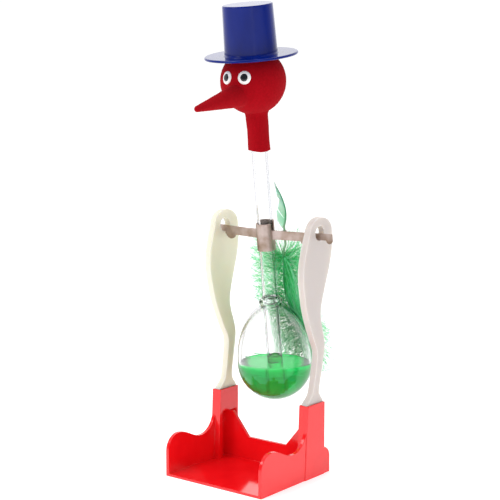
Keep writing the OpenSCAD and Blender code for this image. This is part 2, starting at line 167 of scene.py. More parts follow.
def addNode(tree, kind, links=None, feeds=None, stops=None, **settings):
    # one node with its settings: `links` gives each input a value or what feeds it, `feeds` is the input
    # that its first output goes to, and `stops` are the places and colours on a ramp
    node = tree.nodes.new(kind)
    for key, value in settings.items():
        setattr(node, key, value)
    for key, value in (links or {}).items():
        value = value.outputs[0] if isinstance(value, bpy.types.Node) else value
        if isinstance(value, bpy.types.NodeSocket):
            tree.links.new(value, node.inputs[key])
        else:
            node.inputs[key].default_value = value
    if stops:
        marks = node.color_ramp.elements
        marks[0].position, marks[0].color = stops[0][0], linear(stops[0][1])
        marks[1].position, marks[1].color = stops[-1][0], linear(stops[-1][1])
        for position, colour in stops[1:-1]:
            marks.new(position).color = linear(colour)
    if feeds:
        tree.links.new(node.outputs[0], feeds)
    return node


def newMaterial(name, **values):
    # each name in `values` is an input of the shader, with its spaces written as _
    material = bpy.data.materials.new(name)
    material.use_nodes = True
    tree = material.node_tree
    tree.nodes.clear()
    shader = addNode(tree, "ShaderNodeBsdfPrincipled", {key.replace("_", " "): value for key, value in values.items()})
    addNode(tree, "ShaderNodeOutputMaterial", {"Surface": shader})
    place = addNode(tree, "ShaderNodeTexCoord").outputs["Object"]
    return material, tree, shader, place


# Red polystyrene, injection moulded and polished: even glossy red with a faint ripple from the mould
redPolystyrene, tree, shader, place = newMaterial(
    "redPolystyreneMoulded", Roughness=0.16, IOR=1.59, Subsurface_Weight=0.15, Subsurface_Scale=1.2 * mm,
    Subsurface_Radius=(1.0, 0.12, 0.12))
flow = addNode(tree, "ShaderNodeTexNoise", {"Vector": place, "Scale": 1 / (9 * mm), "Detail": 4})
addNode(tree, "ShaderNodeValToRGB", {"Fac": flow}, shader.inputs["Base Color"], [(0.3, "#ee1018"), (0.7, "#f8181e")])
haze = addNode(tree, "ShaderNodeTexNoise", {"Vector": place, "Scale": 1 / (0.9 * mm), "Detail": 5})
addNode(tree, "ShaderNodeMapRange", {"Value": haze, "To Min": 0.05, "To Max": 0.14}, shader.inputs["Roughness"])
ripple = addNode(tree, "ShaderNodeTexNoise", {"Vector": place, "Scale": 1 / (2.4 * mm), "Detail": 2})
addNode(tree, "ShaderNodeBump", {"Height": ripple, "Distance": 0.008 * mm}, shader.inputs["Normal"])

# Natural polyethylene, moulded: milky, light goes a little way in, and one leg is yellower than the other; the left
# leg is also painted lighter and the right leg darker, painted light and shade that evens out how the lamps fall on
# them
milkyPolythene, tree, shader, place = newMaterial(
    "naturalPolytheneMoulded", Roughness=0.38, IOR=1.51, Subsurface_Weight=0.8, Subsurface_Scale=3.5 * mm,
    Subsurface_Radius=(1.0, 0.9, 0.75))
side = addNode(tree, "ShaderNodeSeparateXYZ", {"Vector": place}).outputs["X"]
# painted light and shade with a real tint: 0 at the left leg, yellower and painted lighter, to 1 at the right leg,
# pinker and painted darker
legTintAndPaintedShade = addNode(tree, "ShaderNodeMapRange", {"Value": side, "From Min": -20 * mm, "From Max": 20 * mm})
drawn = addNode(tree, "ShaderNodeMapping", {"Vector": place, "Scale": (1, 1, 0.4)})
cloud = addNode(tree, "ShaderNodeTexNoise", {"Vector": drawn, "Scale": 1 / (14 * mm), "Detail": 3})
uneven = addNode(tree, "ShaderNodeMapRange", {"Value": cloud, "To Min": -0.25, "To Max": 0.25})
mixed = addNode(tree, "ShaderNodeMath", {0: legTintAndPaintedShade, 1: uneven}, operation="ADD")
addNode(tree, "ShaderNodeValToRGB", {"Fac": mixed}, shader.inputs["Base Color"], [(0, "#e6e3d2"), (1, "#cbc3c0")])
haze = addNode(tree, "ShaderNodeTexNoise", {"Vector": place, "Scale": 1 / (1.2 * mm), "Detail": 4})
addNode(tree, "ShaderNodeMapRange", {"Value": haze, "To Min": 0.3, "To Max": 0.46}, shader.inputs["Roughness"])
ripple = addNode(tree, "ShaderNodeTexNoise", {"Vector": place, "Scale": 1 / (1.6 * mm), "Detail": 3})
addNode(tree, "ShaderNodeBump", {"Height": ripple, "Distance": 0.02 * mm}, shader.inputs["Normal"])

# Tin-plated steel sheet, stamped and rolled: dull grey with pinkish and brown tarnish and fine rolling lines
platedSheet, tree, shader, place = newMaterial("platedSteelStamped", Metallic=0.9, Roughness=0.42)
stain = addNode(tree, "ShaderNodeTexNoise", {"Vector": place, "Scale": 1 / (6 * mm), "Detail": 4})
addNode(tree, "ShaderNodeValToRGB", {"Fac": stain}, shader.inputs["Base Color"],
        [(0.32, "#836f58"), (0.48, "#a89488"), (0.68, "#c4b4ae")])
drawn = addNode(tree, "ShaderNodeMapping", {"Vector": place, "Scale": (0.12, 1, 1)})
rolled = addNode(tree, "ShaderNodeTexNoise", {"Vector": drawn, "Scale": 1 / (0.35 * mm), "Detail": 2})
addNode(tree, "ShaderNodeMapRange", {"Value": rolled, "To Min": 0.34, "To Max": 0.55}, shader.inputs["Roughness"])
addNode(tree, "ShaderNodeBump", {"Height": rolled, "Distance": 0.006 * mm}, shader.inputs["Normal"])

# Blown soda-lime glass: clear, with painted shade: its colour darkens to grey where one looks along the wall, standing
# in for the dark edges the glass shows
clearGlass, tree, shader, place = newMaterial("sodaLimeGlassBlown", Transmission_Weight=1.0, IOR=1.5, Roughness=0.0)
edge = addNode(tree, "ShaderNodeLayerWeight", {"Blend": 0.35}).outputs["Facing"]
addNode(tree, "ShaderNodeValToRGB", {"Fac": edge}, shader.inputs["Base Color"],
        [(0.35, "#ffffff"), (0.68, "#cfd0d8"), (0.92, "#484b55")])
ripple = addNode(tree, "ShaderNodeTexNoise", {"Vector": place, "Scale": 1 / (14 * mm), "Detail": 1})
addNode(tree, "ShaderNodeBump", {"Height": ripple, "Distance": 0.008 * mm}, shader.inputs["Normal"])

# The same glass drawn into tube, with a low refraction: its two edges are painted as thin grey lines, painted shade
# where one looks along the wall
tubeGlass, tree, shader, place = newMaterial("sodaLimeGlassDrawn", Transmission_Weight=1.0, IOR=1.28, Roughness=0.0)
edge = addNode(tree, "ShaderNodeLayerWeight", {"Blend": 0.35}).outputs["Facing"]
addNode(tree, "ShaderNodeValToRGB", {"Fac": edge}, shader.inputs["Base Color"],
        [(0.22, "#ffffff"), (0.5, "#b9bbc4"), (0.8, "#3c3f48")])
ripple = addNode(tree, "ShaderNodeTexNoise", {"Vector": place, "Scale": 1 / (14 * mm), "Detail": 1})
addNode(tree, "ShaderNodeBump", {"Height": ripple, "Distance": 0.008 * mm}, shader.inputs["Normal"])

# The same glass where it was melted together: fuller of waves, faintly green, and painted darker green towards its
# edges (painted shade)
sealGlass, tree, shader, place = newMaterial("sodaLimeGlassFused", Transmission_Weight=1.0, IOR=1.5, Roughness=0.0)
edge = addNode(tree, "ShaderNodeLayerWeight", {"Blend": 0.45}).outputs["Facing"]
addNode(tree, "ShaderNodeValToRGB", {"Fac": edge}, shader.inputs["Base Color"], [(0.3, "#f4fff6"), (0.9, "#9db7a4")])
drawn = addNode(tree, "ShaderNodeMapping", {"Vector": place, "Scale": (1, 1, 1.6)})
waves = addNode(tree, "ShaderNodeTexNoise", {"Vector": drawn, "Scale": 1 / (2.2 * mm), "Detail": 2})
addNode(tree, "ShaderNodeBump", {"Height": waves, "Distance": 0.25 * mm}, shader.inputs["Normal"])

# The tube's glass where the liquid wets it: its refraction nearly matches, so only its edges show, painted into its
# colour as dark green lines (painted shade)
wetGlass, tree, shader, place = newMaterial("sodaLimeGlassWetted", Transmission_Weight=1.0, IOR=1.06, Roughness=0.0)
edge = addNode(tree, "ShaderNodeLayerWeight", {"Blend": 0.5}).outputs["Facing"]
addNode(tree, "ShaderNodeValToRGB", {"Fac": edge}, shader.inputs["Base Color"],
        [(0.4, "#e4ffee"), (0.72, "#7cc79b"), (0.92, "#0f5a2f")])
ripple = addNode(tree, "ShaderNodeTexNoise", {"Vector": place, "Scale": 1 / (14 * mm), "Detail": 1})
addNode(tree, "ShaderNodeBump", {"Height": ripple, "Distance": 0.008 * mm}, shader.inputs["Normal"])

# Dyed dichloromethane: thin clear green liquid, whose open surface takes the light from above and looks brighter
greenLiquid, tree, shader, place = newMaterial("dyedLiquidClear", Transmission_Weight=1.0, IOR=1.33, Roughness=0.0,
                                               Specular_Tint=linear("#1fae62"))
rise = addNode(tree, "ShaderNodeSeparateXYZ", {"Vector": place}).outputs["Z"]
onTop = addNode(tree, "ShaderNodeMapRange", {"Value": rise, "From Min": 39.6 * mm, "From Max": 40.6 * mm,
                                             "To Max": 0.5})
swirl = addNode(tree, "ShaderNodeTexNoise", {"Vector": place, "Scale": 1 / (9 * mm), "Detail": 2})
depth = addNode(tree, "ShaderNodeMapRange", {"Value": swirl, "To Min": 0.1, "To Max": 0.55})
drift = addNode(tree, "ShaderNodeMath", {0: onTop, 1: depth}, operation="ADD")
addNode(tree, "ShaderNodeValToRGB", {"Fac": drift}, shader.inputs["Base Color"],
        [(0.2, "#019840"), (0.5, "#02b650"), (1, "#0ae874")])

# Wool felt pressed over the form: matte, short fibres show as fine mottling and a soft sheen
redFelt, tree, shader, place = newMaterial(
    "woolFeltPressed", Roughness=0.95, Specular_IOR_Level=0.12, Sheen_Weight=0.12, Sheen_Roughness=0.4,
    Sheen_Tint=linear("#ff3038"))
mottle = addNode(tree, "ShaderNodeTexNoise", {"Vector": place, "Scale": 1 / (0.8 * mm), "Detail": 6, "Roughness": 0.7})
patches = addNode(tree, "ShaderNodeTexNoise", {"Vector": place, "Scale": 1 / (8 * mm), "Detail": 3})
uneven = addNode(tree, "ShaderNodeMapRange", {"Value": patches, "To Min": -0.12, "To Max": 0.12})
felted = addNode(tree, "ShaderNodeMath", {0: mottle, 1: uneven}, operation="ADD")
addNode(tree, "ShaderNodeValToRGB", {"Fac": felted}, shader.inputs["Base Color"],
        [(0.2, "#8e000b"), (0.5, "#9e0211"), (0.85, "#ae0417")])
addNode(tree, "ShaderNodeBump", {"Height": mottle, "Distance": 0.06 * mm}, shader.inputs["Normal"])

# Blue polystyrene, moulded thin and glossy, with the plastic's flow just visible
bluePolystyrene, tree, shader, place = newMaterial(
    "bluePolystyreneMoulded", Roughness=0.14, IOR=1.55, Specular_IOR_Level=0.2)
drawn = addNode(tree, "ShaderNodeMapping", {"Vector": place, "Scale": (1, 1, 0.3)})
flow = addNode(tree, "ShaderNodeTexNoise", {"Vector": drawn, "Scale": 1 / (8 * mm), "Detail": 4})
addNode(tree, "ShaderNodeValToRGB", {"Fac": flow}, shader.inputs["Base Color"], [(0.3, "#02186a"), (0.7, "#041f7a")])
haze = addNode(tree, "ShaderNodeTexNoise", {"Vector": place, "Scale": 1 / (0.8 * mm), "Detail": 5})
addNode(tree, "ShaderNodeMapRange", {"Value": haze, "To Min": 0.09, "To Max": 0.2}, shader.inputs["Roughness"])
drawn = addNode(tree, "ShaderNodeMapping", {"Vector": place, "Scale": (1, 1, 0.4)})
ripple = addNode(tree, "ShaderNodeTexNoise", {"Vector": drawn, "Scale": 1 / (2.6 * mm), "Detail": 2})
addNode(tree, "ShaderNodeBump", {"Height": ripple, "Distance": 0.004 * mm}, shader.inputs["Normal"])

# Printed vinyl discs: glossy white and near black, the ink a little uneven
eyeWhite, tree, shader, place = newMaterial("vinylGlossWhite", Roughness=0.22, Coat_Weight=0.3, Coat_Roughness=0.1)
ink = addNode(tree, "ShaderNodeTexNoise", {"Vector": place, "Scale": 1 / (1.5 * mm), "Detail": 4})
addNode(tree, "ShaderNodeValToRGB", {"Fac": ink}, shader.inputs["Base Color"], [(0.3, "#f2f0ee"), (0.7, "#fdfcfb")])
eyeBlack, tree, shader, place = newMaterial("vinylGlossBlack", Roughness=0.14, Coat_Weight=0.4, Coat_Roughness=0.08)
ink = addNode(tree, "ShaderNodeTexNoise", {"Vector": place, "Scale": 1 / (0.8 * mm), "Detail": 4})
addNode(tree, "ShaderNodeValToRGB", {"Fac": ink}, shader.inputs["Base Color"], [(0.3, "#14161c"), (0.7, "#24272f")])

# Dyed keratin shaft: a slight gloss, pale where it is bare beside the strap and green above and below
featherShaft, tree, shader, place = newMaterial("keratinShaftDyed", Roughness=0.42, Subsurface_Weight=0.2,
                                                Subsurface_Scale=0.6 * mm)
height = addNode(tree, "ShaderNodeSeparateXYZ", {"Vector": place}).outputs["Z"]
up = addNode(tree, "ShaderNodeMapRange", {"Value": height, "From Min": 83 * mm, "From Max": 100 * mm})
addNode(tree, "ShaderNodeValToRGB", {"Fac": up}, shader.inputs["Base Color"],
        [(0, "#1c8f4c"), (0.25, "#7fae86"), (0.6, "#8fb08f"), (1, "#3f9a6b")])
drawn = addNode(tree, "ShaderNodeMapping", {"Vector": place, "Scale": (1, 1, 0.1)})
lines = addNode(tree, "ShaderNodeTexNoise", {"Vector": drawn, "Scale": 1 / (0.5 * mm), "Detail": 3})
addNode(tree, "ShaderNodeBump", {"Height": lines, "Distance": 0.02 * mm}, shader.inputs["Normal"])


def dyedBarbs(name, stops):
    # marabou dyed in a bath: soft matte fibres, paler towards their ends;
    # the "along" attribute runs from 0 at the shaft to 1 at the free end
    material, tree, shader, place = newMaterial(name, Roughness=0.75, Sheen_Weight=0.3, Sheen_Roughness=0.5,
                                                Subsurface_Weight=0.25, Subsurface_Scale=1 * mm)
    along = addNode(tree, "ShaderNodeAttribute", attribute_name="along").outputs["Fac"]
    uptake = addNode(tree, "ShaderNodeTexNoise", {"Vector": place, "Scale": 1 / (2.5 * mm), "Detail": 4})
    uneven = addNode(tree, "ShaderNodeMapRange", {"Value": uptake, "To Min": -0.3, "To Max": 0.3})
    mixed = addNode(tree, "ShaderNodeMath", {0: along, 1: uneven}, operation="ADD")
    addNode(tree, "ShaderNodeValToRGB", {"Fac": mixed}, shader.inputs["Base Color"], stops)
    return material


downBarbs = dyedBarbs("marabouDyedGreen", [(0, "#0cb84c"), (0.22, "#22e070"), (0.5, "#4cf294"), (1, "#aaf8d0")])
vaneBarbs = dyedBarbs("vaneDyedPale", [(0, "#8ed9b0"), (0.4, "#b4ebcd"), (1, "#d6f6e5")])
print("materials made")

# CAD pieces whose shape stays

keptNodes = {"pivot_strap": platedSheet, "strap_clip": platedSheet, "glass_bulb": clearGlass, "head_glass": clearGlass,
             "glass_seal": sealGlass, "glass_nib": sealGlass, "beak_core": redFelt, "top_hat": bluePolystyrene}
for name, material in keptNodes.items():
    cadNodes[name].data.materials.clear()
    cadNodes[name].data.materials.append(material)

# Moulded pieces: merged copies of the CAD shapes with their edges rounded as a mould leaves them

softEdges = {  # CAD node: new piece, radius of its edges, slot, material
    "base_tray": ("baseTray", 0.45, "tray_plastic", redPolystyrene),
    "leg_left": ("legLeft", 1.0, "leg_plastic", milkyPolythene),
    "leg_right": ("legRight", 1.0, "leg_plastic", milkyPolythene)}
edgeAngle, flatAngle, edgeSteps, weldGap = 38, 0.5, 4, 1e-6
for node, (name, width, slot, material) in softEdges.items():
    shape = bmesh.new()
    shape.from_mesh(cadNodes[node].data)
    bmesh.ops.remove_doubles(shape, verts=shape.verts, dist=weldGap)
    bmesh.ops.dissolve_limit(shape, angle_limit=math.radians(flatAngle), verts=shape.verts, edges=shape.edges)
    mesh = bpy.data.meshes.new(name)
    shape.to_mesh(mesh)
    shape.free()
    mesh.polygons.foreach_set("use_smooth", np.ones(len(mesh.polygons), bool))
    mesh.materials.clear()
    mesh.materials.append(material)
    piece = bpy.data.objects.new(name, mesh)
    scene.collection.objects.link(piece)
    rounding = piece.modifiers.new("rounding", "BEVEL")
    rounding.width = width * mm
    rounding.segments = edgeSteps
    rounding.limit_method = "ANGLE"
    rounding.angle_limit = math.radians(edgeAngle)
    flats = piece.modifiers.new("flats", "WEIGHTED_NORMAL")
    flats.weight = 100
    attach(piece, "stand")
    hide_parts(node)
print("moulded pieces softened")

# Felt head: one skin over the ball and the beak, and the sleeve of felt on the neck

head = {"radius": 12.3, "beakRadius": 5.8, "beakTip": 1.15, "beakLength": 37.4, "beakDrop": 3.4, "droop": 2.5,
        "neckRadius": 4.15, "neckInner": 3.07, "neckLow": 26, "neckTop": 9.2, "hemInside": 4, "dropFrom": 7,
        "fade": 2.2, "fibres": 9000, "fibreLength": 0.42, "fibreWidth": 0.022, "fibreRoot": 0.06, "fibreSlant": 0.75,
        "fibreScatter": 0.06}


def softMax(a, b, width):  # the larger of two values, rounded over `width` where they meet
    h = np.clip(0.5 + 0.5 * (a - b) / width, 0, 1)
    return b * (1 - h) + a * h + width * h * (1 - h)


def fromInside(middle, centre, radius, cosA, sinA):
    # distance from the point (0, middle) to a circle round (0, centre), in the direction of the angle
    b = (centre - middle) * sinA
    return b + np.sqrt(np.maximum(b**2 - (centre - middle) ** 2 + radius**2, 0))


def headSkin(around=112):
    # rings across the beak's line; each reaches out to the ball or to the beak's cone, whichever is further
    R, tip, end = head["radius"], head["beakTip"], head["beakLength"] - head["beakTip"]
    s = np.concatenate([-R * np.cos(np.linspace(0.03, math.pi * 0.73, 70)), np.linspace(8.4, end, 80)[1:]])
    cone = head["beakRadius"] + (tip - head["beakRadius"]) * s / end
    cap = np.linspace(0.12, math.pi / 2 - 0.08, 9)
    s = np.concatenate([s, end + tip * np.sin(cap)])
    cone = np.concatenate([cone, tip * np.cos(cap)])
    ball = np.sqrt(np.maximum(R**2 - s**2, 0))
    ease = np.clip((s - head["dropFrom"]) / (R - head["dropFrom"]), 0, 1)
    middle = (-head["beakDrop"] * ease**2 * (3 - 2 * ease))[:, None]
    a = np.linspace(0, 2 * math.pi, around, endpoint=False)[None]
    toBall = fromInside(middle, 0, ball[:, None], np.cos(a), np.sin(a))
    toCone = fromInside(middle, -head["beakDrop"], cone[:, None], np.cos(a), np.sin(a))
    toCone = np.where(s[:, None] > 0, toCone, 0)
    fade = np.clip((R + head["fade"] - s) / head["fade"], 0, 1)[:, None]  # past the ball only the cone counts
    toBall = toBall * fade
    width = (1.7 + 1.1 * np.sin(a)) * fade + 0.001
    reach = np.where(s[:, None] > 4, softMax(toBall, toCone, width), toBall)
    lumps = 0.05 * np.sin(3 * a + s[:, None] * 0.5) * np.sin(s[:, None] * 0.33 + 1)  # the felt is not quite even
    reach = reach * (1 + lumps * 0.12)
    c, d = math.cos(math.radians(head["droop"])), math.sin(math.radians(head["droop"]))
    forward, up = np.array([0, -c, -d]), np.array([0, -d, c])
    return (s[:, None, None] * forward + (middle + reach * np.sin(a))[..., None] * up
            + (reach * np.cos(a))[..., None] * np.array([1.0, 0, 0]))


def neckSkin(around=80):
    # a sleeve, a little waved round the neck and flaring into the ball; the cut edge of its hem waves and turns in,
    # and goes up inside by hemInside
    a = np.linspace(0, 2 * math.pi, around, endpoint=False)[None]
    z = np.linspace(0, 1, 46)[:, None]
    hem = -head["neckLow"] - 0.3 * np.cos(a - 0.4) + 0.14 * np.sin(3 * a + 0.6)
    height = hem + (-head["neckTop"] - hem) * z
    out = head["neckRadius"] + 0.5 * np.exp(-np.maximum(-11.6 - height, 0) / 0.5) \
        + 0.07 * np.sin(2 * a + height * 0.45) + 0.05 * np.sin(5 * a - height * 0.6)
    outer = np.stack([out * np.cos(a), out * np.sin(a), height], -1)
    turned = [[0.96, -0.13], [0.544, -0.16], [0.256, -0.12], [0.064, 0]]  # the cut edge, [inward, upward]
    lip = np.stack([np.stack([(out[0] - inward) * np.cos(a[0]), (out[0] - inward) * np.sin(a[0]),
                              hem[0] + upward], -1) for inward, upward in turned])
    inside = np.stack([head["neckInner"] * np.cos(a[0]), head["neckInner"] * np.sin(a[0]), hem[0] + head["hemInside"]], -1)[None]
    return np.concatenate([inside, lip, outer])


skin = inHead(headSkin())
neck = onTube(neckSkin() + [0, 0, bird["headUp"]])
skinPoints, skinFaces = closedGrid(skin)
neckPoints, neckFaces = closedGrid(neck)
feltHead = newPiece("feltHead", skinPoints, skinFaces, "bird", redFelt)
newPiece("feltNeck", neckPoints, neckFaces, "bird", redFelt)
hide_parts("head_felt")


def gridNormals(grid):  # cross product of the steps along and around
    return unit(np.cross(np.roll(grid, -1, 1) - np.roll(grid, 1, 1), np.gradient(grid, axis=0)))


def feltFibres(rng):
    # short blades that stand out of the skin at random slants, one triangle each
    roots, ups = [], []
    for grid, share in ((skin[3:-3], 0.8), (neck[6:-8], 0.2)):
        n = int(head["fibres"] * share)
        normals = gridNormals(grid)
        size = np.linalg.norm(np.cross(np.roll(grid, -1, 1) - grid, np.gradient(grid, axis=0)), axis=-1).ravel()
        pick = rng.choice(size.size, n, p=size / size.sum())
        roots.append(grid.reshape(-1, 3)[pick] + rng.normal(0, head["fibreScatter"], (n, 3)))
        ups.append(normals.reshape(-1, 3)[pick])
    root, up = np.concatenate(roots), np.concatenate(ups)
    lean = unit(up + rng.normal(0, head["fibreSlant"], up.shape))
    length = head["fibreLength"] * rng.uniform(0.3, 1, (len(root), 1))
    across = unit(np.cross(lean, rng.normal(0, 1, up.shape))) * head["fibreWidth"]
    foot = root - up * head["fibreRoot"]
    points = np.stack([foot - across, foot + across, root + lean * length], 1).reshape(-1, 3)
    return points, np.arange(len(points)).reshape(-1, 3).tolist()


fibrePoints, fibreFaces = feltFibres(np.random.default_rng(7))
newPiece("feltFibres", fibrePoints, fibreFaces, "bird", redFelt, smooth=False)
print("head made")

# Eyes: a domed white disc with a smaller dark one on it

eyes = {"side": 18.8, "lift": 13, "white": 2.5, "pupil": 1.42, "whiteHigh": 0.36, "pupilHigh": 0.26,
        "whiteSunk": 0.12, "pupilSunk": 0.06}


def domedDisc(radius, low, high):
    # follows the ball: height = ball's surface at that radius plus a crowned thickness with a rounded rim
    t = np.linspace(0, 1, 26)
    r = radius * np.sin(t * math.pi / 2)
    ball = np.sqrt(head["radius"] ** 2 - r**2)
    top = ball + low + high * np.sqrt(np.clip(1 - (r / radius) ** 5, 0, 1))
    under = ball + low
    return np.concatenate([np.stack([r[1:], under[1:]], -1), np.stack([r[::-1], top[::-1]], -1)[1:-1]])


discs = (("eyeDisc", eyes["white"], -eyes["whiteSunk"], eyes["whiteHigh"] + eyes["whiteSunk"], eyeWhite, "eye_white"),
         ("pupilDisc", eyes["pupil"], eyes["whiteHigh"] - eyes["pupilSunk"], eyes["pupilHigh"], eyeBlack, "eye_black"))
for name, sign in (("Left", -1), ("Right", 1)):
    for part, radius, low, high, material, slot in discs:
        grid = revolve(domedDisc(radius, low, high), 56)
        points, faces = closedGrid(grid)
        points = inHead(turnZ(turnX(points, 90 - eyes["lift"]), sign * eyes["side"]))
        disc = newPiece(part + name, points, faces, "bird", material)
        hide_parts(("eye_" if part == "eyeDisc" else "pupil_") + name.lower())
print("eyes made")

# Liquid: a level cap in the round bottom of the bulb, wetting the glass, and the column in the tube

liquid = {"drop": 0.2, "climb": 0.55, "meniscus": 0.7, "columnUp": 3.0}
tube = {"outer": 3.0, "bore": 2.3, "gapBelow": 4.6, "top": 10.5, "rounding": 0.1}
bulbInner = bulb["radius"] - bulb["wall"]
leanC, leanS = math.cos(math.radians(bird["lean"])), math.sin(math.radians(bird["lean"]))
bulbMiddle = np.array([0, bird["pivotY"] - bird["tubeOff"] * leanC + bulb["down"] * leanS,
                       bird["pivotZ"] - bird["tubeOff"] * leanS - bulb["down"] * leanC])


def liquidProfile():
    # bottom: the ball's arc; top: level, then up the wall by climb * exp(-distance / meniscus)
    r = bulbInner + 0.02
    top = -liquid["drop"] + liquid["climb"]
    low = np.linspace(-math.pi / 2 + 0.02, math.asin(top / r), 60)
    wall = np.stack([r * np.cos(low), r * np.sin(low)], -1)
    inward = np.concatenate([np.linspace(0.05, 2.5, 16), np.linspace(3, r - 0.3, 14)])
    level = -liquid["drop"] + liquid["climb"] * np.exp(-inward / liquid["meniscus"])
    surface = np.stack([wall[-1, 0] - inward, level], -1)
    return np.concatenate([wall, surface])


points, faces = closedGrid(revolve(liquidProfile(), 120))
pool = newPiece("liquidPool", points + bulbMiddle, faces, "liquid", greenLiquid)
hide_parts("liquid_pool")

tubeLow = -bulb["down"] - bulbInner + tube["gapBelow"]
waterline = -bulb["down"] - liquid["drop"]
for name, low, high, material in (("tubeDry", waterline, bird["headUp"] - tube["top"], tubeGlass),
                                  ("tubeWet", tubeLow, waterline, wetGlass)):
    # a wall between the bore and the outside, with its ends rounded over; rings stand close together near the ends
    outer, inner, curl = tube["outer"], tube["bore"], tube["rounding"]
    up = np.concatenate([[low + curl, low + 0.25], np.linspace(low + 0.6, high - 0.6, 12), [high - 0.25, high - curl]])
    ends = ([[inner + curl, low], [outer - curl, low]], [[outer - curl, high], [inner + curl, high]])
    profile = np.concatenate([ends[0], np.stack([np.full(len(up), outer), up], -1),
                              ends[1], np.stack([np.full(len(up), inner), up[::-1]], -1)])
    wall = revolve(profile, 72)
    wall = np.concatenate([wall, wall[:1]])
    points = wall[:-1].reshape(-1, 3)
    faces = (np.array(ringFaces(len(wall), 72)) % len(points)).tolist()
    piece = newPiece(name, onTube(points), faces, "bird", material)
    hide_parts("glass_tube")

columnLow = waterline - 0.15
columnHigh = -bulb["down"] - liquid["drop"] + liquid["columnUp"]
r = tube["bore"] + 0.01
# its surface is hollow: [inward, upward]
hollow = [[0, 0.25], [0.1, 0.12], [0.35, -0.05], [0.8, -0.2], [1.5, -0.28], [r - 0.2, -0.3]]
columnProfile = [[r * 0.5, columnLow], [r, columnLow + 0.01], [r, columnLow + 1], [r, columnHigh - 1]]
columnProfile += [[r - inward, columnHigh + upward] for inward, upward in hollow]
points, faces = closedGrid(revolve(columnProfile, 48))
column = newPiece("liquidColumn", onTube(points), faces, "bird", greenLiquid)
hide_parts("liquid_column")
print("liquid made")

# Feather: shaft, stiff vane at its upper end, and loose down behind the tube and the bulb

feather = {"halfWidth": 18, "looseBarbs": 1300, "foldedBarbs": 380, "vaneBarbs": 96, "seed": 11, "lowest": -59.5,
           "barbuleLength": 1.3, "barbuleWidth": 0.05, "dyeSpread": 0.36, "clearance": 0.7, "clearOfTube": 3.9}
grip = {"x": 8, "bladeEnd": 22.66, "slope": 0.1099, "behind": 1.25}  # where the strap holds the quill
quillY = -(grip["bladeEnd"] - grip["x"]) * grip["slope"] + grip["behind"]
shaftLine = smoothCurve([[1.4, 15.4, -55], [1.1, 15.5, -50], [0.9, 14.4, -43], [0.8, 11.8, -36.5], [1.2, 7.6, -29.5],
                         [2.2, 4.6, -21], [3.6, 3.6, -13.5], [5.4, 1.4, -8.5], [6.9, 0.1, -6], [grip["x"], quillY, -4.2],
                         [grip["x"], quillY, -2.4], [grip["x"], quillY, 1.4], [grip["x"], quillY, 3], [8, 0.8, 5.5],
                         [7.6, 1.6, 9], [6, 2, 13.5], [3.2, 2, 18.6]], 8)
shaftRadius = np.interp(shaftLine[:, 2], [-55, -46, -30, -10, 3, 9, 18.6], [0.1, 0.24, 0.38, 0.45, 0.44, 0.3, 0.1])
points, faces = closedGrid(tubeAlong(shaftLine, shaftRadius))
shaft = newPiece("featherShaft", inBird(points), faces, "bird", featherShaft)
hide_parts("feather_quill")


def shaftAt(height):  # the shaft's place at a height in the bird's frame
    return np.stack([np.interp(height, shaftLine[:, 2], shaftLine[:, i]) for i in range(3)], -1)


def clearOfGlass(points):
    # pushes points out of the bulb and the tube, straight back from their axis
    x, y, z = points[..., 0], points[..., 1] + bird["tubeOff"], points[..., 2]
    rise = (z + bulb["down"]) / np.where(z > -bulb["down"], bulb["shoulder"], bulb["radius"])
    need = bulb["radius"] * np.sqrt(np.clip(1 - rise**2, 0, 1)) + feather["clearance"]
    need = np.maximum(need, feather["clearOfTube"])
    behind = np.sqrt(np.clip(need**2 - x**2, 0, None))
    moved = points.copy()
    moved[..., 1] = np.maximum(y, behind) - bird["tubeOff"]
    return moved


def barbPaths(rng, count, folded, steps=12):
    # each barb starts on the shaft and goes out sideways, turning steadily from its first slant to its last;
    # folded ones turn down beside the shaft
    height = -9 - 44 * rng.beta(0.9, 1.15, count) if not folded else -9.5 - 30 * rng.beta(1.1, 1.4, count)
    sideways = np.where(rng.random(count) < (0.5 if not folded else 0.12), -1.0, 1.0)
    t = np.linspace(0, 1, steps)[None]
    share = (height + 53) / 43.5
    if folded:
        first = np.radians(rng.normal(-25, 22, count))
        last = np.radians(rng.normal(-84, 8, count))
        length = rng.uniform(11, 21, count)
    else:
        first = np.radians(-38 + 75 * share + rng.normal(0, 20, count))
        last = first + np.radians(rng.normal(-18, 26, count))
        length = rng.uniform(12, 26, count) * (0.72 + 0.28 * np.sin(share * math.pi))
    ease = t ** (0.45 if folded else 0.8)
    slant = first[:, None] * (1 - ease) + last[:, None] * ease
    step = (length / (steps - 1))[:, None]
    out = np.cumsum(np.cos(slant) * step, 1) - np.cos(slant[:, :1]) * step
    down = np.cumsum(np.sin(slant) * step, 1) - np.sin(slant[:, :1]) * step
    wave = rng.uniform(0.05, 0.25, (count, 1)) * np.sin(
        t * rng.uniform(2, 5, (count, 1)) + rng.uniform(0, 6, (count, 1))) * t
    root = shaftAt(height)
    z = root[:, None, 2] + down
    follow = shaftAt(z.ravel()).reshape(count, steps, 3)
    x = root[:, None, 0] + sideways[:, None] * out + wave + (follow[..., 0] - root[:, None, 0]) * 0.6
    depth = rng.normal(0.3, 0.9, (count, 1)) * t
    y = root[:, None, 1] * (1 - t) + (follow[..., 1] * 0.6 + root[:, None, 1] * 0.4) * t + depth + wave * 0.6
    x = feather["halfWidth"] * np.tanh(x / feather["halfWidth"])
    return clearOfGlass(np.stack([x, y, np.maximum(z, feather["lowest"])], -1))


